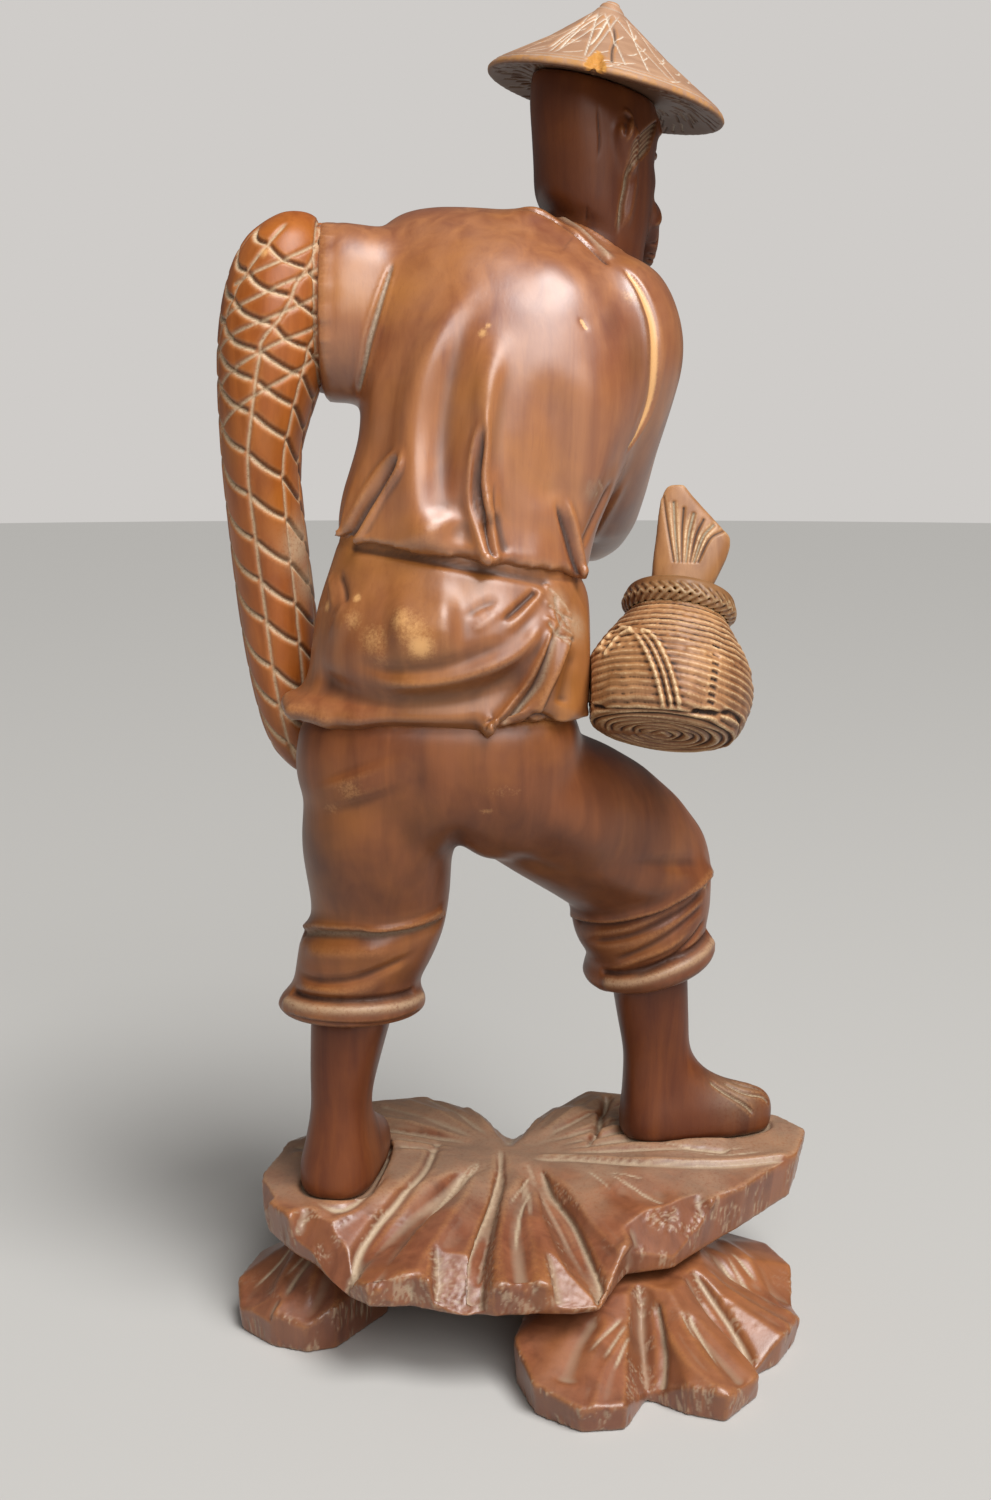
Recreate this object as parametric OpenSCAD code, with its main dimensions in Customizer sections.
// Carved wooden figure of a fisherman on a rock, seen walking away, built up from doweled blocks.
// The figure faces +Y. The origin is on the floor under the middle of the rock base.

/* [Rock base] */
// Width of the base, over the outermost rocks
rock_w = 184; // [150:1:230]
// Depth of the base, over the outermost rocks
rock_d = 136; // [115:1:170]
// Height of the lower rocks that carry the wide upper rock
lower_rock_h = 24; // [18:1:34]
// Height of the upper rock, to its highest ridge
upper_rock_h = 28; // [22:1:38]
// Depth that each foot is let into the rock
foot_seat = 1.2; // [0.8:0.1:2]

/* [Legs] */
// Sideways place of the left ankle
left_foot_x = -59.5; // [-65:0.5:-55]
// Forward place of the left ankle
left_foot_y = 1; // [-6:1:8]
// Sideways place of the right ankle
right_foot_x = 42.5; // [37:0.5:47]
// Forward place of the right ankle
right_foot_y = 33; // [28:1:38]
// Length of a foot
foot_l = 50; // [44:1:56]
// Width of a foot
foot_w = 23; // [20:1:26]
// Height of the left shin and foot, up to the trouser cuff
shin_h = 57; // [45:1:66]

/* [Trousers] */
// Width of the trousers over the hips
hip_w = 96; // [86:1:106]
// Depth of the trousers over the hips
hip_d = 50; // [44:1:58]
// Height of the trousers from the left cuff to the coat
trousers_h = 94; // [84:1:106]
// Width of a trouser leg
thigh_w = 44; // [40:1:50]
// Height of the right cuff over the left one
cuff_rise = 3.5; // [0:0.5:8]

/* [Coat] */
// Width of the coat's skirt at its hem
skirt_w = 92; // [84:1:100]
// Depth of the coat's skirt at its hem
skirt_d = 56; // [50:1:62]
// Height of the coat's skirt
skirt_h = 46; // [40:1:54]
// Width of the jacket across the back
jacket_w = 84; // [76:1:94]
// Depth of the jacket from back to chest
jacket_d = 62; // [56:1:70]
// Height of the jacket from the waist to the shoulders
jacket_h = 102; // [90:1:112]
// Height of the cloth folds
fold_h = 3; // [1.5:0.5:4]
// Tilt of the waist, down toward the right hip
waist_tilt = 9; // [4:1:12]

/* [Arms] */
// Thickness of the right sleeve at the shoulder
sleeve_w = 40; // [35:1:45]
// Thickness of the left sleeve where the net covers it
cuff_w = 52; // [46:1:56]
// Thickness of the left forearm
forearm_w = 19; // [16:1:22]
// Length of the left forearm up to the wrist
forearm_l = 25; // [22:1:30]
// Length of a hand from wrist to knuckles
hand_l = 26; // [22:1:30]

/* [Net] */
// Height of the folded net that hangs over the left arm
net_h = 166; // [150:1:180]
// Width of the net bundle
net_w = 34; // [30:1:38]
// Depth of the net bundle
net_d = 42; // [36:1:48]

/* [Head] */
// Width of the head over the temples
head_w = 35; // [30:1:38]
// Length of the head from brow to nape
head_l = 44; // [40:1:50]
// Height of the head and neck up to the hat
head_h = 52; // [46:1:56]
// Turn of the face toward the right
head_turn = 50; // [30:5:60]
// Diameter of the neck
neck_d = 33; // [29:1:36]

/* [Hat] */
// Diameter of the hat's brim
hat_d = 73; // [64:1:80]
// Height of the hat over its brim
hat_h = 24.5; // [20:0.5:32]
// Sideways tilt of the brim
hat_tilt = 13; // [6:1:16]

/* [Basket] */
// Largest diameter of the basket
basket_d = 50; // [44:1:54]
// Height of the basket up to its braided ring
basket_h = 40; // [36:1:46]
// Thickness of the braided ring round the basket's neck
braid_d = 6.4; // [5:0.2:7]
// Number of woven ribs on the basket
rib_count = 17; // [10:1:22]
// Height of the fish tail over the ring
tail_h = 36; // [30:1:44]
// Width of the fish tail at its fork
tail_w = 23; // [18:1:28]

/* [Dowels] */
// Diameter of the dowels in the body and the rocks
body_dowel_d = 8; // [6:0.5:9]
// Diameter of the dowels in the neck, right arm and legs
limb_dowel_d = 6; // [4:0.5:7]
// Diameter of the dowels in the hat, forearm and basket
small_dowel_d = 4; // [3:0.5:5]
// Length of a dowel in multiples of its diameter
dowel_ratio = 3; // [2.4:0.1:3.2]
// Gap between a dowel and its bore, each side
bore_gap = 0.05; // [0.02:0.01:0.1]
// Gap that one piece leaves round another that is let into it
seat_gap = 0.3; // [0.2:0.05:0.5]

/* [Hidden] */

// Colours of the wood: flesh and cloth, rock, and the paler worn parts
cloth_wood = "sienna";
skin_wood = "saddlebrown";
rock_wood = "rosybrown";
worn_wood = "peru";
dowel_wood = "burlywood";

// Facets round a bore or a dowel
bore_fn = 48;
// Overrun of every cut
cut = 1;
// Turn of a dowel about its own axis, which keeps its facets off the spokes of the rings round it
dowel_turn = 4;

// Heights of the main joints between the pieces
left_step_share = 0.75;
right_step_share = 0.93;
rock_seam_z = lower_rock_h;
left_step_z = rock_seam_z + left_step_share * upper_rock_h - foot_seat;
right_step_z = rock_seam_z + right_step_share * upper_rock_h - foot_seat;
cuff_z = left_step_z + shin_h;
hem_z = cuff_z + trousers_h;
waist_z = hem_z + skirt_h;

// Middle of the hips, between the two ankles and a little behind them
hips_x_share = 0.35;
hips_x = left_foot_x + hips_x_share * (right_foot_x - left_foot_x);
hips_y_share = 0.18;
hips_y = left_foot_y - hips_y_share * hip_d;

// One number of a smooth curve that runs from b to c with neighbours a and d
function blend(a, b, c, d, t) =
    b + (c - a) * t / 2 + (2 * a - 5 * b + 4 * c - d) * t * t / 2
    + (3 * b - a - 3 * c + d) * t * t * t / 2;

// Rows of numbers, filled in smoothly with a number of steps between each two
function curve(rows, steps) = [
    for (i = [0:len(rows) - 2], k = [0:steps - 1])
        blend(rows[max(i - 1, 0)], rows[i], rows[i + 1], rows[min(i + 2, len(rows) - 1)], k / steps),
    rows[len(rows) - 1]
];

// Turns a point about Z, then X, then Y
function turned(p, pitch, roll, yaw) =
    let (a = [p.x * cos(yaw) - p.y * sin(yaw), p.x * sin(yaw) + p.y * cos(yaw), p.z])
    let (b = [a.x, a.y * cos(pitch) - a.z * sin(pitch), a.y * sin(pitch) + a.z * cos(pitch)])
    [b.x * cos(roll) + b.z * sin(roll), b.y, b.z * cos(roll) - b.x * sin(roll)];

// Sets rows of shares to a width, a depth and a height, at a place
// Each row: x, y, z of the middle, reach to the left, right, back and front, pitch, roll, yaw
function placed(shares, w, d, h, at, tilt = 1) = [
    for (s = shares)
        [at.x + s[0] * w, at.y + s[1] * d, at.z + s[2] * h,
         s[3] * w, s[4] * w, s[5] * d, s[6] * d, s[7], s[8] * tilt, s[9]]
];

// Columns of points round a piece, evenly spread and without folds
function even(count) = [for (i = [0:count - 1]) [360 * i / count, 360 * i / count, 0, 0, 1]];

// Points of one ring: an oval with four reaches, squared off as full goes below 1
// Each column: its angle at the foot and at the top, and the height, peak and reach of its fold
function ring(s, columns, full, t, height) = [
    for (c = columns)
        let (angle = c[1] + (c[0] - c[1]) * pow(1 - t, 3), u = cos(angle), v = sin(angle))
        let (off = (t - c[3]) / c[4])
        let (lift = abs(off) < 1 ? height * c[2] * pow(cos(90 * off), 2) : 0)
        let (p = [((u < 0 ? s[3] : s[4]) + lift) * sign(u) * pow(abs(u), full),
                  ((v < 0 ? s[5] : s[6]) + lift) * sign(v) * pow(abs(v), full), 0])
        [s[0], s[1], s[2]] + turned(p, s[7], s[8], s[9])
];

// A closed skin through rings of points, each end closed by a flat fan
module skin(rings, first, last) {
    count = len(rings[0]);
    levels = len(rings);
    sides = [
        for (i = [0:levels - 2], j = [0:count - 1])
            let (k = (j + 1) % count)
            each [[i * count + j, (i + 1) * count + j, (i + 1) * count + k],
                  [i * count + j, (i + 1) * count + k, i * count + k]]
    ];
    bottom = [for (j = [0:count - 1]) [levels * count, j, (j + 1) % count]];
    top = [
        for (j = [0:count - 1])
            [levels * count + 1, (levels - 1) * count + (j + 1) % count, (levels - 1) * count + j]
    ];
    polyhedron(concat([for (r = rings) each r], [first, last]), concat(sides, bottom, top));
}

// A smooth body through rows of reaches
module loft(rows, columns, steps = 2, full = 1, height = 0) {
    levels = curve(rows, steps);
    rings = [
        for (i = [0:len(levels) - 1])
            ring(levels[i], columns, full, i / (len(levels) - 1), height)
    ];
    end = rows[len(rows) - 1];
    skin(rings, [rows[0][0], rows[0][1], rows[0][2]], [end[0], end[1], end[2]]);
}

// Puts its children at a place and turns them like a ring of a loft
module at(place, turn = [0, 0, 0]) {
    translate(place) rotate([0, turn[1], 0]) rotate([turn[0], 0, 0]) rotate([0, 0, turn[2]]) children();
}

// A dowel, or its bore, half on each side of a joint
module peg(place, turn, d, gap = 0) {
    long = dowel_ratio * d + 2 * gap;
    at(place, turn) rotate([0, 0, dowel_turn]) translate([0, 0, -long / 2])
        cylinder(d = d + 2 * gap, h = long, $fn = bore_fn);
}

// A rock cut into ridges and valleys that fan out from a hub
// Each row: x and y of the rim, height half way out, at the rim's edge and at its foot
module crag(rows, hub, hub_share, hub_h, under_share, under_h, w, d, h, z) {
    function out(s, share, height) = [
        (hub.x + share * (s[0] - hub.x)) * w, (hub.y + share * (s[1] - hub.y)) * d, z + height * h
    ];
    half_way_share = 0.6;
    foot_in_share = 0.97;
    rings = [
        [for (s = rows) out(s, under_share, under_h)],
        [for (s = rows) out(s, foot_in_share, s[4])],
        [for (s = rows) out(s, 1, s[3])],
        [for (s = rows) out(s, half_way_share, s[2])],
        [for (s = rows) out(s, hub_share, hub_h)]
    ];
    skin(rings, out([0, 0], 0, under_h) , out([0, 0], 0, hub_h));
}

// Rock base
upper_rock_shares = [
    [-0.36, -0.19, 0.80, 0.58, 0.20], [-0.30, -0.29, 0.58, 0.20, 0.08],
    [-0.26, -0.35, 0.72, 0.42, 0.10], [-0.19, -0.33, 0.74, 0.46, 0.06],
    [-0.11, -0.37, 0.62, 0.40, 0.05], [-0.09, -0.36, 0.46, 0.16, 0.05],
    [-0.06, -0.37, 0.72, 0.44, 0.05], [0.01, -0.36, 0.74, 0.46, 0.05],
    [0.06, -0.36, 0.62, 0.36, 0.04], [0.11, -0.34, 0.40, 0.12, 0.04],
    [0.16, -0.21, 0.78, 0.58, 0.14], [0.24, -0.18, 0.84, 0.66, 0.14],
    [0.31, -0.06, 0.88, 0.72, 0.12], [0.36, -0.02, 0.86, 0.76, 0.22],
    [0.47, 0.12, 0.96, 0.88, 0.34], [0.50, 0.24, 0.98, 0.94, 0.40],
    [0.46, 0.33, 0.98, 0.94, 0.36], [0.39, 0.38, 0.98, 0.90, 0.30],
    [0.30, 0.43, 0.84, 0.66, 0.24], [0.22, 0.47, 0.98, 0.92, 0.20],
    [0.12, 0.50, 0.98, 0.94, 0.20], [0.04, 0.45, 0.80, 0.70, 0.16],
    [-0.03, 0.37, 0.66, 0.50, 0.14], [-0.09, 0.43, 0.84, 0.78, 0.18],
    [-0.19, 0.50, 0.92, 0.86, 0.20], [-0.29, 0.48, 0.90, 0.84, 0.20],
    [-0.38, 0.38, 0.78, 0.66, 0.20], [-0.43, 0.24, 0.84, 0.78, 0.30],
    [-0.46, 0.06, 0.82, 0.74, 0.34], [-0.45, -0.06, 0.82, 0.74, 0.30],
    [-0.40, -0.15, 0.82, 0.72, 0.24]
];
upper_hub_share = [-0.03, 0.16];

left_rock_shares = [
    [-0.24, 0.26, 0.86, 0.60, 0], [-0.36, 0.30, 0.86, 0.50, 0],
    [-0.43, 0.22, 0.78, 0.34, 0], [-0.47, 0.12, 0.86, 0.62, 0],
    [-0.50, 0.01, 0.84, 0.52, 0], [-0.49, -0.06, 0.74, 0.30, 0],
    [-0.43, -0.14, 0.84, 0.50, 0], [-0.37, -0.17, 0.82, 0.38, 0],
    [-0.32, -0.15, 0.86, 0.60, 0], [-0.24, 0.02, 0.90, 0.70, 0]
];
left_rock_hub_share = [-0.33, 0.10];

right_rock_shares = [
    [-0.03, -0.30, 0.84, 0.62, 0], [0.00, -0.43, 0.80, 0.44, 0],
    [0.07, -0.50, 0.78, 0.34, 0], [0.14, -0.49, 0.76, 0.36, 0],
    [0.18, -0.37, 0.54, 0.12, 0], [0.24, -0.43, 0.74, 0.42, 0],
    [0.30, -0.46, 0.76, 0.38, 0], [0.36, -0.36, 0.74, 0.34, 0],
    [0.36, -0.28, 0.56, 0.14, 0], [0.41, -0.22, 0.78, 0.42, 0],
    [0.45, -0.12, 0.72, 0.36, 0], [0.45, -0.02, 0.66, 0.22, 0],
    [0.46, 0.08, 0.78, 0.52, 0], [0.43, 0.20, 0.80, 0.52, 0],
    [0.33, 0.26, 0.84, 0.60, 0], [0.20, 0.20, 0.90, 0.70, 0],
    [0.08, 0.08, 0.90, 0.70, 0], [0.00, -0.14, 0.86, 0.64, 0]
];
right_rock_hub_share = [0.17, -0.03];

far_rock_shares = [
    [-0.18, 0.32, 0.86, 0.56, 0], [-0.12, 0.24, 0.90, 0.66, 0],
    [0.04, 0.22, 0.90, 0.66, 0], [0.14, 0.27, 0.86, 0.54, 0],
    [0.20, 0.38, 0.76, 0.42, 0], [0.13, 0.46, 0.74, 0.44, 0],
    [0.05, 0.42, 0.56, 0.18, 0], [-0.03, 0.47, 0.76, 0.46, 0],
    [-0.13, 0.46, 0.74, 0.40, 0], [-0.19, 0.39, 0.70, 0.34, 0]
];
far_rock_hub_share = [0, 0.33];

lower_hub_share = 0.42;
lower_under_share = 0.86;
upper_ring_share = 0.14;
upper_hub_h_share = 0.80;
upper_under_share = 0.72;
rock_dowel_shares = [left_rock_hub_share, right_rock_hub_share, far_rock_hub_share];

module lower_rock(rows, hub) {
    color(rock_wood) difference() {
        crag(rows, hub, lower_hub_share, 1, lower_under_share, 0, rock_w, rock_d, lower_rock_h, 0);
        rock_pegs(bore_gap);
    }
}

module rock_pegs(gap = 0) {
    for (s = rock_dowel_shares)
        peg([s[0] * rock_w, s[1] * rock_d, rock_seam_z], [0, 0, 0], body_dowel_d, gap);
}

module upper_rock() {
    color(rock_wood) difference() {
        crag(upper_rock_shares, upper_hub_share, upper_ring_share, upper_hub_h_share,
             upper_under_share, 0, rock_w, rock_d, upper_rock_h, rock_seam_z);
        left_sole(seat_gap);
        right_sole(seat_gap);
        leg_pegs(bore_gap);
        rock_pegs(bore_gap);
    }
}

// Legs, from the sole up to the trouser cuff, with the toes toward local +Y
leg_shares = [
    [0, 0, 0.00, 0.44, 0.46, 0.24, 0.75, 0, 0, 0],
    [0, 0, 0.07, 0.50, 0.52, 0.25, 0.77, 0, 0, 0],
    [0, 0, 0.17, 0.50, 0.50, 0.24, 0.75, 0, 0, 0],
    [0, 0, 0.24, 0.46, 0.46, 0.23, 0.60, 0, 0, 0],
    [0, 0, 0.36, 0.41, 0.41, 0.22, 0.36, 0, 0, 0],
    [0, 0, 0.50, 0.39, 0.39, 0.21, 0.24, 0, 0, 0],
    [0, 0, 0.68, 0.44, 0.44, 0.23, 0.23, 0, 0, 0],
    [0, 0, 1.00, 0.54, 0.54, 0.25, 0.25, 0, 0, 0]
];
left_foot_turn = -12;
right_foot_turn = -84;
left_lean_share = 0.09;
right_lean_share = -0.06;
sole_full = 0.8;
sole_count = 24;

function leg_rows(x, y, z, h, turn, lean, top_turn) = [
    for (i = [0:len(leg_shares) - 1])
        let (s = leg_shares[i], up = pow(s[2], 2), top = i == len(leg_shares) - 1)
        [x + up * lean * h, y, z + s[2] * h,
         s[3] * foot_w, s[4] * foot_w, s[5] * foot_l, s[6] * foot_l,
         top ? top_turn[0] : 0, top ? top_turn[1] : 0, turn]
];

left_cuff_place = [left_foot_x + left_lean_share * shin_h, left_foot_y, cuff_z];
right_shin_h = cuff_z + cuff_rise - right_step_z;
right_cuff_place = [right_foot_x + right_lean_share * right_shin_h, right_foot_y, cuff_z + cuff_rise];
left_cuff_turn = [0, 0, 0];
right_cuff_turn = [10, -12, 0];

module sole(x, y, z, turn, gap) {
    s = leg_shares[1];
    at([x, y, z], [0, 0, turn])
        linear_extrude(height = upper_rock_h)
            polygon([
                for (i = [0:sole_count - 1])
                    let (u = cos(360 * i / sole_count), v = sin(360 * i / sole_count))
                    [((u < 0 ? s[3] : s[4]) * foot_w + gap) * sign(u) * pow(abs(u), sole_full),
                     ((v < 0 ? s[5] : s[6]) * foot_l + gap) * sign(v) * pow(abs(v), sole_full)]
            ]);
}

module left_sole(gap) { sole(left_foot_x, left_foot_y, left_step_z, left_foot_turn, gap); }
module right_sole(gap) { sole(right_foot_x, right_foot_y, right_step_z, right_foot_turn, gap); }

module leg_pegs(gap = 0) {
    peg([left_foot_x, left_foot_y, left_step_z], [0, 0, 0], limb_dowel_d, gap);
    peg([right_foot_x, right_foot_y, right_step_z], [0, 0, 0], limb_dowel_d, gap);
    peg(left_cuff_place, left_cuff_turn, limb_dowel_d, gap);
    peg(right_cuff_place, right_cuff_turn, limb_dowel_d, gap);
}

module left_leg() {
    color(skin_wood) difference() {
        loft(leg_rows(left_foot_x, left_foot_y, left_step_z, shin_h, left_foot_turn, left_lean_share,
                      left_cuff_turn),
             even(sole_count), full = sole_full);
        leg_pegs(bore_gap);
    }
}

module right_leg() {
    color(skin_wood) difference() {
        loft(leg_rows(right_foot_x, right_foot_y, right_step_z, right_shin_h, right_foot_turn,
                      right_lean_share, right_cuff_turn),
             even(sole_count), full = sole_full);
        leg_pegs(bore_gap);
    }
}

// Trousers
hips_shares = [
    [0.14, 0.00, 0.55, 0.10, 0.10, 0.18, 0.18, 0, 0, 0],
    [0.09, 0.00, 0.60, 0.26, 0.22, 0.33, 0.30, 0, 0, 0],
    [0.00, 0.00, 0.71, 0.43, 0.36, 0.46, 0.42, 0, 0, 0],
    [0.00, 0.00, 0.84, 0.475, 0.40, 0.52, 0.46, 0, 0, 0],
    [0.00, 0.00, 0.93, 0.465, 0.40, 0.52, 0.45, 0, 0, 0],
    [0.00, 0.00, 1.00, 0.45, 0.39, 0.50, 0.44, 0, 0, 0]
];
left_thigh_shares = [
    [0.00, 0.00, 0.00, 0.48, 0.48, 0.43, 0.43, 0, 0, 0],
    [0.00, 0.00, 0.04, 0.55, 0.55, 0.50, 0.50, 0, 0, 0],
    [0.02, 0.00, 0.09, 0.44, 0.44, 0.41, 0.41, 0, 0, 0],
    [0.09, 0.00, 0.17, 0.48, 0.46, 0.45, 0.45, 0, 0, 0],
    [0.16, 0.00, 0.27, 0.51, 0.48, 0.48, 0.47, 0, 0, 0],
    [0.19, 0.00, 0.31, 0.47, 0.47, 0.45, 0.46, 0, 0, 0],
    [0.21, -0.04, 0.40, 0.49, 0.48, 0.48, 0.49, 0, 0, 0],
    [0.21, -0.13, 0.56, 0.53, 0.50, 0.53, 0.52, 0, 0, 0],
    [0.23, -0.18, 0.70, 0.53, 0.48, 0.53, 0.48, 0, 0, 0],
    [0.29, -0.17, 0.80, 0.53, 0.44, 0.49, 0.44, 0, 0, 0],
    [0.42, -0.10, 0.91, 0.36, 0.34, 0.40, 0.38, 0, 0, 0]
];
right_thigh_shares = [
    [0.00, 0.00, 0.00, 0.46, 0.46, 0.42, 0.42, 10, -12, 0],
    [0.00, 0.00, 0.05, 0.53, 0.53, 0.48, 0.48, 10, -12, 0],
    [-0.02, 0.00, 0.10, 0.43, 0.43, 0.40, 0.40, 10, -12, 0],
    [-0.05, 0.00, 0.16, 0.50, 0.50, 0.47, 0.46, 10, -12, 0],
    [-0.08, -0.01, 0.25, 0.52, 0.54, 0.50, 0.48, 14, -14, 0],
    [-0.12, -0.07, 0.38, 0.55, 0.56, 0.52, 0.50, 24, -26, 0],
    [-0.46, -0.42, 0.56, 0.58, 0.55, 0.54, 0.52, 30, -44, 0],
    [-0.86, -0.80, 0.72, 0.58, 0.46, 0.52, 0.48, 24, -48, 0],
    [-1.14, -0.93, 0.82, 0.44, 0.30, 0.46, 0.40, 10, -52, 0]
];
thigh_count = 24;
hips_count = 32;
hips_full = 0.82;

hips_place = [hips_x, hips_y, cuff_z];

module hips_form() {
    loft(placed(hips_shares, hip_w, hip_d, trousers_h, hips_place), even(hips_count), full = hips_full);
}

module thigh_form(shares, place) {
    loft(placed(shares, thigh_w, thigh_w, trousers_h, place), even(thigh_count));
}

module trousers() {
    color(cloth_wood) difference() {
        union() {
            hips_form();
            thigh_form(left_thigh_shares, left_cuff_place);
            thigh_form(right_thigh_shares, right_cuff_place);
        }
        leg_pegs(bore_gap);
        body_pegs(bore_gap);
    }
}

// Coat skirt, cut flat on the right where the basket lies against it
skirt_shares = [
    [-0.02, 0.00, 0.00, 0.50, 0.50, 0.49, 0.46, 0, 0.00, 0],
    [-0.02, 0.00, 0.08, 0.51, 0.50, 0.52, 0.47, 0, 0.00, 0],
    [0.00, 0.00, 0.20, 0.46, 0.49, 0.51, 0.46, 0, 0.00, 0],
    [0.01, 0.00, 0.40, 0.45, 0.47, 0.57, 0.46, 0, 0.00, 0],
    [0.02, 0.00, 0.62, 0.44, 0.45, 0.55, 0.44, 0, 0.33, 0],
    [0.03, 0.00, 0.82, 0.41, 0.42, 0.46, 0.41, 0, 0.78, 0],
    [0.04, 0.00, 1.00, 0.39, 0.38, 0.39, 0.38, 0, 1.00, 0]
];
// The flap that laps over the slit at the right of the back, and two sagging folds at the left
skirt_columns = [
    [0, 0, 0, 0, 1], [15, 15, 0, 0, 1], [30, 30, 0, 0, 1], [47, 47, 0, 0, 1], [64, 64, 0, 0, 1],
    [81, 81, 0, 0, 1], [98, 98, 0, 0, 1], [115, 115, 0, 0, 1], [132, 132, 0, 0, 1],
    [149, 149, 0, 0, 1], [164, 164, 0, 0, 1], [176, 176, 0, 0, 1],
    [188, 188, 0, 0, 1], [197, 199, -0.2, 0, 0.4], [206, 210, 0.5, 0, 0.4], [216, 220, -0.2, 0, 0.4],
    [226, 230, 0, 0, 1], [236, 241, 0.2, 0.35, 0.3], [247, 252, 0.3, 0.35, 0.3],
    [258, 264, 0.2, 0.35, 0.3], [268, 277, 0, 0, 1], [275, 290, 0, 0, 1],
    [281, 303, -0.5, 0.35, 0.65], [286, 311, 0.9, 0.30, 0.7], [294, 318, 0.5, 0.30, 0.7],
    [304, 325, 0, 0, 1], [316, 332, 0.3, 0, 0.5], [330, 340, 0, 0, 1], [345, 350, 0, 0, 1]
];
// The flat side lies just outside both the hips and the waist of the skirt
basket_side_share = 0.44;
hip_side_share = 0.42;
basket_side_x = hips_x + max(basket_side_share * skirt_w, hip_side_share * hip_w);

module skirt_form() {
    difference() {
        loft(placed(skirt_shares, skirt_w, skirt_d, skirt_h, [hips_x, hips_y, hem_z], waist_tilt),
             skirt_columns, height = fold_h);
        translate([basket_side_x, hips_y - skirt_d, hem_z - cut])
            cube([skirt_w, 2 * skirt_d, 2 * skirt_h]);
    }
}

module coat_skirt() {
    color(cloth_wood) difference() {
        skirt_form();
        body_pegs(bore_gap);
        small_pegs(bore_gap);
    }
}

// Jacket, stooped forward and leaning to the right
jacket_shares = [
    [0.00, 0.00, 0.00, 0.44, 0.44, 0.40, 0.38, 0, 1.00, 0],
    [0.02, 0.01, 0.12, 0.44, 0.45, 0.38, 0.40, 0, 0.90, 0],
    [0.10, 0.07, 0.29, 0.46, 0.47, 0.43, 0.45, 0, 0.55, 0],
    [0.15, 0.14, 0.48, 0.50, 0.51, 0.49, 0.50, 0, 0.22, 0],
    [0.16, 0.21, 0.66, 0.49, 0.50, 0.48, 0.52, 0, 0.00, 0],
    [0.13, 0.30, 0.81, 0.45, 0.43, 0.41, 0.47, 0, 0.20, 0],
    [0.08, 0.38, 0.90, 0.37, 0.34, 0.32, 0.36, 0, 0.30, 0],
    [0.04, 0.43, 0.955, 0.25, 0.22, 0.22, 0.25, 0, 0.30, 0],
    [0.02, 0.45, 0.975, 0.12, 0.12, 0.12, 0.13, 0, 0.30, 0]
];
// Four folds of the back that spring from the hem, the middle two as a pair
jacket_columns = [
    [0, 0, 0, 0, 1], [15, 15, 0, 0, 1], [30, 30, 0, 0, 1], [47, 47, 0, 0, 1], [64, 64, 0, 0, 1],
    [81, 81, 0, 0, 1], [98, 98, 0, 0, 1], [115, 115, 0, 0, 1], [132, 132, 0, 0, 1],
    [148, 148, 0, 0, 1], [162, 162, 0, 0, 1], [174, 177, 0, 0, 1],
    [184, 193, 0, 0, 1], [192, 209, -0.4, 0, 0.4], [199, 220, 0.8, 0, 0.4], [206, 229, -0.4, 0, 0.4],
    [216, 238, 0, 0, 1], [228, 246, 0, 0, 1], [242, 252, 0, 0, 1],
    [254, 256, -0.3, 0.28, 0.28], [263, 260, 0.8, 0.28, 0.28],
    [273, 264, -0.4, 0.10, 0.4], [282, 269, 1.0, 0, 0.42], [291, 276, -0.4, 0, 0.42],
    [303, 284, 0, 0, 1], [316, 292, 0, 0, 1],
    [328, 301, -0.4, 0, 0.36], [335, 310, 1.0, 0, 0.36], [342, 321, -0.4, 0, 0.36], [351, 340, 0, 0, 1]
];
jacket_x_share = 0.04;
jacket_place = [hips_x + jacket_x_share * skirt_w, hips_y, waist_z];

// The neck's seat leans with the neckline, down toward the right
neck_shares = [0.425, 0.62, 0.82];
neck_place = jacket_place + [neck_shares[0] * jacket_w, neck_shares[1] * jacket_d, neck_shares[2] * jacket_h];
neck_turn = [-8, 26, 0];
neck_h_share = 0.26;
collar_wall = 2;
collar_h_share = 0.22;

module jacket_form() {
    loft(placed(jacket_shares, jacket_w, jacket_d, jacket_h, jacket_place, waist_tilt),
         jacket_columns, height = fold_h);
}

module collar(gap, h) {
    at(neck_place, neck_turn) cylinder(d = neck_d + 2 * gap, h = h, $fn = bore_fn);
}

module jacket() {
    color(cloth_wood) difference() {
        union() {
            jacket_form();
            collar(collar_wall, collar_h_share * neck_d);
        }
        collar(seat_gap, jacket_h);
        body_pegs(bore_gap);
        limb_pegs(bore_gap);
    }
}

// A loosely closed hand, from its wrist, with the palm toward local +Y and the thumb on one side
hand_shares = [
    [0.00, 0.00, -0.20, 0.30, 0.30, 0.25, 0.25, 0, 0, 0],
    [0.00, 0.00, 0.10, 0.32, 0.32, 0.27, 0.27, 0, 0, 0],
    [0.00, 0.01, 0.40, 0.42, 0.42, 0.29, 0.28, 0, 0, 0],
    [0.00, 0.04, 0.70, 0.47, 0.47, 0.33, 0.32, 0, 0, 0],
    [0.00, 0.14, 0.92, 0.44, 0.44, 0.32, 0.42, -14, 0, 0],
    [0.00, 0.24, 1.00, 0.34, 0.34, 0.20, 0.34, -22, 0, 0]
];
thumb_shares = [
    [0.26, 0.06, 0.22, 0.12, 0.12, 0.12, 0.12, 0, 10, 0],
    [0.42, 0.16, 0.48, 0.15, 0.15, 0.15, 0.15, 0, 6, 0],
    [0.42, 0.32, 0.74, 0.13, 0.13, 0.14, 0.14, 0, -14, 0],
    [0.34, 0.42, 0.90, 0.07, 0.07, 0.08, 0.08, 0, -24, 0]
];
hand_count = 16;
thumb_count = 8;

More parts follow.
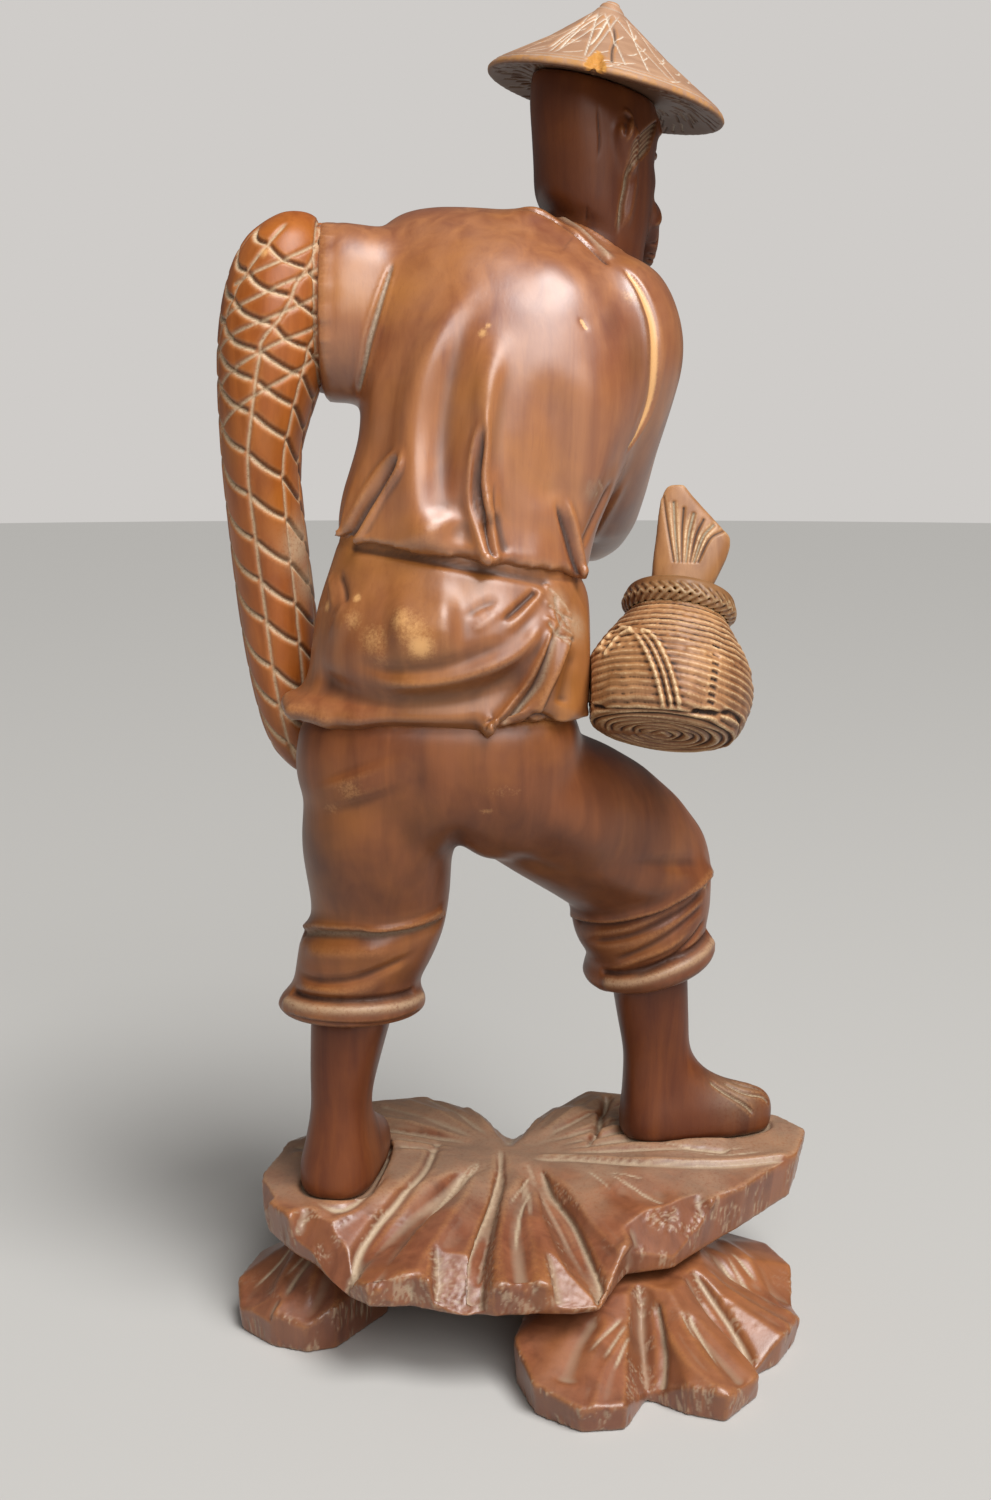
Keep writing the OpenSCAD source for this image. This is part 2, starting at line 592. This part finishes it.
module hand(side) {
    thumb = [for (s = thumb_shares) [side * s[0], s[1], s[2], s[3], s[4], s[5], s[6], s[7], side * s[8], s[9]]];
    loft(placed(hand_shares, forearm_w, forearm_w, hand_l, [0, 0, 0]), even(hand_count));
    loft(placed(thumb, forearm_w, forearm_w, hand_l, [0, 0, 0]), even(thumb_count));
}

// Right arm, carved to fit the jacket's side, with the hand in front of the belt
right_arm_shares = [
    [-0.32, 0.77, 0.115, 0.25, 0.25, 0.26, 0.26, 24, 106, 0],
    [-0.22, 0.72, 0.095, 0.30, 0.30, 0.31, 0.30, 22, 98, 0],
    [-0.06, 0.62, 0.07, 0.32, 0.34, 0.34, 0.33, 12, 66, 0],
    [0.08, 0.40, 0.12, 0.34, 0.30, 0.42, 0.42, 30, 20, 0],
    [0.12, 0.14, 0.30, 0.36, 0.36, 0.52, 0.54, 24, 0, 0],
    [0.16, -0.06, 0.52, 0.38, 0.48, 0.60, 0.62, 10, 0, 0],
    [0.14, -0.08, 0.66, 0.38, 0.48, 0.56, 0.60, 0, 0, 0],
    [0.08, -0.04, 0.79, 0.30, 0.38, 0.42, 0.46, 0, 0, 0],
    [0.02, -0.02, 0.85, 0.12, 0.14, 0.15, 0.17, 0, 0, 0]
];
right_arm_count = 22;
shoulder_shares = [0.46, 0.34];
right_arm_place = jacket_place + [shoulder_shares[0] * jacket_w, shoulder_shares[1] * jacket_d, 0];
right_peg_shares = [0.62, 0.36, 0.50];
right_hand_turn = [-27, -66, 180];

module right_arm() {
    end = right_arm_shares[0];
    color(cloth_wood) difference() {
        union() {
            loft(placed(right_arm_shares, sleeve_w, sleeve_w, jacket_h, right_arm_place),
                 even(right_arm_count));
            at(right_arm_place + [end[0] * sleeve_w, end[1] * sleeve_w, end[2] * jacket_h], right_hand_turn)
                hand(-1);
        }
        jacket_form();
        collar(collar_wall + seat_gap, neck_d);
        limb_pegs(bore_gap);
    }
}

// Left sleeve, raised sideways, from the jacket to the net
left_sleeve_shares = [
    [0.60, 0.00, -0.10, 0.40, 0.44, 0.30, 0.34, 0, -70, 0],
    [0.32, 0.00, -0.03, 0.44, 0.50, 0.33, 0.38, 0, -76, 0],
    [0.14, 0.00, 0.00, 0.47, 0.51, 0.34, 0.38, 0, -84, 0],
    [0.00, 0.00, 0.00, 0.50, 0.53, 0.35, 0.40, 0, -90, 0]
];
left_sleeve_count = 20;
left_arm_shares = [-0.46, 0.24, 0.66];
left_arm_place = jacket_place
    + [left_arm_shares[0] * jacket_w, left_arm_shares[1] * jacket_d, left_arm_shares[2] * jacket_h];

module left_sleeve() {
    color(cloth_wood) difference() {
        loft(placed(left_sleeve_shares, cuff_w, cuff_w, cuff_w, left_arm_place),
             even(left_sleeve_count), steps = 3);
        jacket_form();
        body_pegs(bore_gap);
    }
}

// Net, folded over the left arm, from its tip by the hip to its top
net_shares = [
    [0.22, 0.22, 0.00, 0.10, 0.10, 0.10, 0.10, 0, 0, 0],
    [0.16, 0.20, 0.05, 0.28, 0.22, 0.22, 0.22, 0, 0, 0],
    [0.04, 0.18, 0.15, 0.31, 0.32, 0.29, 0.29, 0, 0, 0],
    [-0.04, 0.14, 0.30, 0.34, 0.36, 0.34, 0.34, 0, 0, 0],
    [-0.09, 0.02, 0.48, 0.35, 0.33, 0.38, 0.36, 0, 0, 0],
    [-0.10, -0.04, 0.60, 0.37, 0.34, 0.42, 0.40, 0, 0, 0],
    [-0.02, -0.04, 0.76, 0.46, 0.54, 0.48, 0.48, 0, 0, 0],
    [0.03, -0.02, 0.88, 0.42, 0.58, 0.46, 0.48, 0, 0, 0],
    [0.10, 0.00, 0.96, 0.30, 0.42, 0.34, 0.36, 0, 0, 0],
    [0.20, 0.02, 1.00, 0.10, 0.14, 0.14, 0.15, 0, 0, 0]
];
net_count = 26;
clear_count = 24;
net_top_share = 0.50;
// Thickness of the net over the arm
net_over = 4;
net_reach_share = 0.48;
net_place = [
    left_arm_place.x - net_reach_share * net_w,
    left_arm_place.y,
    left_arm_place.z + net_top_share * cuff_w + net_over - net_h
];
forearm_seat_shares = [0.00, 0.36, 0.78];
forearm_place = net_place
    + [forearm_seat_shares[0] * net_w, forearm_seat_shares[1] * net_d, forearm_seat_shares[2] * net_h];
forearm_turn = [-50, 106, -90];

module net() {
    color(worn_wood) difference() {
        loft(placed(net_shares, net_w, net_d, net_h, net_place), even(net_count));
        translate([left_arm_place.x, left_arm_place.y - net_d, left_arm_place.z - net_w])
            cube([net_w, 2 * net_d, 3 * net_w]);
        at(forearm_place, forearm_turn) cylinder(d = forearm_w + 2 * seat_gap, h = net_d, $fn = bore_fn);
        skirt_clear();
        body_pegs(bore_gap);
        small_pegs(bore_gap);
    }
}

// The coat's skirt with a gap all round, for what hangs beside it
module skirt_clear() {
    loft([for (s = placed(skirt_shares, skirt_w, skirt_d, skirt_h, [hips_x, hips_y, hem_z], waist_tilt))
              [s[0], s[1], s[2], s[3] + fold_h, s[4] + fold_h, s[5] + fold_h, s[6] + seat_gap,
               s[7], s[8], s[9]]],
         even(clear_count), steps = 1);
}

// Left forearm with a loosely closed hand, from its seat in the net
forearm_shares = [
    [0, 0.00, 0.00, 0.50, 0.50, 0.50, 0.50, 0, 0, 0],
    [0, 0.00, 0.50, 0.50, 0.50, 0.50, 0.50, 0, 0, 0],
    [0, 0.02, 0.86, 0.56, 0.56, 0.54, 0.54, 0, 0, 0],
    [0, 0.02, 1.00, 0.52, 0.52, 0.50, 0.50, 0, 0, 0]
];
forearm_count = 22;

module left_forearm() {
    color(skin_wood) difference() {
        at(forearm_place, forearm_turn) {
            loft(placed(forearm_shares, forearm_w, forearm_w, forearm_l, [0, 0, 0]), even(forearm_count));
            translate([0, 0, forearm_l]) hand(1);
        }
        small_pegs(bore_gap);
    }
}

// Head, turned to the right, with its round neck let into the collar
head_shares = [
    [0.00, 0.02, 0.26, 0.50, 0.50, 0.44, 0.40, 0, 0, 0],
    [0.00, 0.01, 0.40, 0.50, 0.50, 0.45, 0.46, 0, 0, 0],
    [0.00, 0.00, 0.58, 0.50, 0.50, 0.46, 0.49, 0, 0, 0],
    [0.00, 0.00, 0.70, 0.50, 0.50, 0.47, 0.47, 0, 0, 0],
    [0.00, 0.00, 0.82, 0.51, 0.51, 0.47, 0.51, 0, 0, 0],
    [0.00, 0.00, 1.00, 0.48, 0.48, 0.45, 0.49, 0, 0, 0]
];
nose_shares = [
    [0, 0.42, 0.44, 0.04, 0.04, 0.08, 0.04, 0, 0, 0],
    [0, 0.44, 0.47, 0.11, 0.11, 0.10, 0.09, 0, 0, 0],
    [0, 0.44, 0.52, 0.08, 0.08, 0.10, 0.13, 0, 0, 0],
    [0, 0.42, 0.62, 0.055, 0.055, 0.10, 0.08, 0, 0, 0],
    [0, 0.42, 0.74, 0.07, 0.07, 0.10, 0.06, 0, 0, 0]
];
brow_shares = [
    [0, 0.30, 0.70, 0.30, 0.30, 0.10, 0.14, 0, 0, 0],
    [0, 0.32, 0.76, 0.37, 0.37, 0.10, 0.19, 0, 0, 0],
    [0, 0.32, 0.84, 0.36, 0.36, 0.10, 0.17, 0, 0, 0]
];
ear_shares = [
    [0.46, -0.03, 0.47, 0.04, 0.04, 0.05, 0.05, 0, 0, 0],
    [0.49, -0.03, 0.52, 0.06, 0.07, 0.07, 0.07, 0, 0, 0],
    [0.51, -0.04, 0.62, 0.07, 0.07, 0.10, 0.09, 0, 0, 0],
    [0.53, -0.05, 0.71, 0.08, 0.07, 0.12, 0.09, 0, 0, 0],
    [0.49, -0.05, 0.76, 0.05, 0.05, 0.07, 0.05, 0, 0, 0]
];
beard_shares = [
    [0, 0.54, 0.04, 0.05, 0.05, 0.05, 0.04, -24, 0, 0],
    [0, 0.49, 0.11, 0.15, 0.15, 0.12, 0.10, -22, 0, 0],
    [0, 0.42, 0.22, 0.26, 0.26, 0.18, 0.14, -14, 0, 0],
    [0, 0.36, 0.34, 0.32, 0.32, 0.20, 0.15, 0, 0, 0],
    [0, 0.34, 0.42, 0.26, 0.26, 0.16, 0.11, 0, 0, 0]
];
neck_in_share = 0.49;
head_count = 28;
feature_count = 12;
head_shift_share = 0.08;
head_place = neck_place + [head_shift_share * head_w, 0, 0];
head_top = head_place + [0, 0, head_h];
neck_top = neck_place + neck_h_share * neck_d * turned([0, 0, 1], neck_turn[0], neck_turn[1], 0);
neck_in = neck_in_share * neck_d;

// The tilt goes over from the neck's to the brim's
function head_rows() = concat(
    [[neck_top.x, neck_top.y, neck_top.z, neck_in, neck_in, neck_in, neck_in,
      neck_turn[0], neck_turn[1], -head_turn]],
    [
        for (s = placed(head_shares, head_w, head_l, head_h, head_place))
            let (k = (s[2] - head_place.z) / head_h)
            [s[0], s[1], s[2], s[3], s[4], s[5], s[6],
             neck_turn[0] * (1 - k), neck_turn[1] * (1 - k) + hat_tilt * k, -head_turn]
    ]
);

module feature(shares) {
    at(head_place, [0, 0, -head_turn])
        loft(placed(shares, head_w, head_l, head_h, [0, 0, 0]), even(feature_count));
}

module head() {
    color(skin_wood) difference() {
        union() {
            collar(0, neck_h_share * neck_d);
            loft(head_rows(), even(head_count));
            feature(nose_shares);
            feature(brow_shares);
            feature(beard_shares);
            feature(ear_shares);
            feature([for (s = ear_shares) [-s[0], s[1], s[2], s[4], s[3], s[5], s[6], s[7], s[8], s[9]]]);
        }
        limb_pegs(bore_gap);
        small_pegs(bore_gap);
    }
}

// Hat, a leaning cone with a thin brim, hollowed a little round the head, and a button on top
hat_shares = [
    [0.05, 0, 0.00, 0.36, 0.36, 0.36, 0.36, 0, 0, 0],
    [0.06, 0, -0.13, 0.485, 0.485, 0.485, 0.485, 0, 0, 0],
    [0.06, 0, -0.08, 0.50, 0.50, 0.50, 0.50, 0, 0, 0],
    [0.06, 0, 0.00, 0.48, 0.48, 0.48, 0.48, 0, 0, 0],
    [0.035, 0, 0.42, 0.26, 0.26, 0.26, 0.26, 0, 0, 0],
    [0.005, 0, 0.86, 0.065, 0.065, 0.065, 0.065, 0, 0, 0],
    [0.00, 0, 0.90, 0.055, 0.055, 0.055, 0.055, 0, 0, 0],
    [0.00, 0, 1.00, 0.03, 0.03, 0.03, 0.03, 0, 0, 0]
];
hat_count = 44;

module hat() {
    color(worn_wood) difference() {
        at(head_top, [0, hat_tilt, 0])
            loft(placed(hat_shares, hat_d, hat_d, hat_h, [0, 0, 0]), even(hat_count), steps = 1);
        small_pegs(bore_gap);
    }
}

// Basket, tipped back and to the right, ribbed like woven cane
basket_shares = [
    [0.00, 0.35], [0.06, 0.43], [0.18, 0.48], [0.40, 0.50],
    [0.66, 0.435], [0.84, 0.35], [0.93, 0.29], [1.00, 0.28]
];
basket_turn = [-25, 10, 0];
basket_reach_share = 0.47;
basket_back_share = 0.10;
basket_low_share = 0.14;
basket_place = [
    basket_side_x + basket_reach_share * basket_d - basket_h * sin(basket_turn[1]) / 2,
    hips_y - basket_back_share * skirt_d - basket_h * sin(-basket_turn[0]) / 2,
    hem_z - basket_low_share * basket_h
];
basket_steps = 4;
rib_depth_share = 0.45;
mouth_share = 0.17;
mouth_depth_share = 0.10;
basket_fn = 64;

// Outline of the basket's half section, with a groove between each two ribs
function basket_side(side, pitch) = [
    for (i = [0:2 * rib_count])
        let (z = i / (2 * rib_count))
        let (groove = i % 2 == 0 ? rib_depth_share * pitch : 0)
        [lookup(z, side) * basket_d - groove, z * basket_h]
];

module basket_form() {
    at(basket_place, basket_turn)
        rotate_extrude($fn = basket_fn)
            polygon(concat(
                [[0, 0]],
                basket_side(curve(basket_shares, basket_steps), basket_h / rib_count),
                [[0, basket_h]]
            ));
}

module basket() {
    color(worn_wood) difference() {
        basket_form();
        translate([basket_side_x - basket_d, basket_place.y - basket_d, basket_place.z - basket_d])
            cube([basket_d, 3 * basket_d, 3 * basket_d]);
        at(basket_place, basket_turn)
            translate([0, 0, basket_h * (1 - mouth_depth_share)])
                cylinder(d = 2 * mouth_share * basket_d, h = basket_h, $fn = bore_fn);
        small_pegs(bore_gap);
    }
}

ring_reach_share = 0.27;
ring_flat_share = 0.15;
braid_fn = 24;

module basket_ring() {
    flat = ring_flat_share * braid_d;
    color(worn_wood)
        at(basket_place, basket_turn)
            translate([0, 0, basket_h])
                rotate_extrude($fn = basket_fn)
                    intersection() {
                        translate([ring_reach_share * basket_d, braid_d / 2 - flat])
                            circle(d = braid_d, $fn = braid_fn);
                        square([basket_d, braid_d]);
                    }
}

// Fish tail, seated in the basket's mouth, a fan with its tip at the left and a corner at the right
tail_shares = [
    [0.00, 0, 0.00, 0.28, 0.28, 0.20, 0.20, 0, 0, 0],
    [0.03, 0, 0.20, 0.34, 0.42, 0.19, 0.19, 0, 0, 0],
    [0.12, 0, 0.42, 0.39, 0.56, 0.16, 0.16, 0, 0, 0],
    [0.16, 0, 0.57, 0.38, 0.60, 0.13, 0.13, 0, 0, 0],
    [0.16, 0, 0.66, 0.35, 0.50, 0.11, 0.11, 0, 0, 0],
    [0.15, 0, 0.90, 0.26, 0.18, 0.07, 0.07, 0, 0, 0],
    [0.13, 0, 1.00, 0.13, 0.09, 0.04, 0.04, 0, 0, 0]
];
tail_turn = [-12, -4, 0];
tail_full = 0.85;
tail_count = 18;
tail_seat_h = basket_h * (1 - mouth_depth_share);
tail_place = basket_place + tail_seat_h * turned([0, 0, 1], basket_turn[0], basket_turn[1], 0);

module fish_tail() {
    whole_h = tail_h + basket_h * mouth_depth_share;
    color(worn_wood)
        difference() {
            at(tail_place, tail_turn)
                loft(placed(tail_shares, tail_w, tail_w, whole_h, [0, 0, 0]), even(tail_count), full = tail_full);
            at(basket_place, basket_turn)
                translate([0, 0, tail_seat_h - basket_d]) cylinder(d = basket_d, h = basket_d, $fn = bore_fn);
        }
}

// Dowels
module body_pegs(gap = 0) {
    peg([hips_x, hips_y, hem_z], [0, 0, 0], body_dowel_d, gap);
    peg(jacket_place, [0, waist_tilt, 0], body_dowel_d, gap);
    peg(left_arm_place, [0, 90, 0], body_dowel_d, gap);
}

module limb_pegs(gap = 0) {
    peg(neck_place, neck_turn, limb_dowel_d, gap);
    peg(jacket_place + [right_peg_shares[0] * jacket_w, right_peg_shares[1] * jacket_d,
                        right_peg_shares[2] * jacket_h],
        [0, 90, 0], limb_dowel_d, gap);
}

module small_pegs(gap = 0) {
    peg(head_top, [0, hat_tilt, 0], small_dowel_d, gap);
    peg(forearm_place, forearm_turn, small_dowel_d, gap);
    peg([basket_side_x, hips_y - basket_back_share * skirt_d, hem_z + basket_low_share * basket_h],
        [0, 90, 0], small_dowel_d, gap);
}

module body_dowels() { color(dowel_wood) body_pegs(); }
module limb_dowels() { color(dowel_wood) { limb_pegs(); leg_pegs(); } }
module small_dowels() { color(dowel_wood) small_pegs(); }
module rock_dowels() { color(dowel_wood) rock_pegs(); }

lower_rock(left_rock_shares, left_rock_hub_share);  // left_lower_rock
lower_rock(right_rock_shares, right_rock_hub_share);  // right_lower_rock
lower_rock(far_rock_shares, far_rock_hub_share);  // far_lower_rock
upper_rock();
left_leg();
right_leg();
trousers();
coat_skirt();
jacket();
right_arm();
left_sleeve();
left_forearm();
net();
head();
hat();
basket();
basket_ring();
fish_tail();
body_dowels();
limb_dowels();
small_dowels();
rock_dowels();
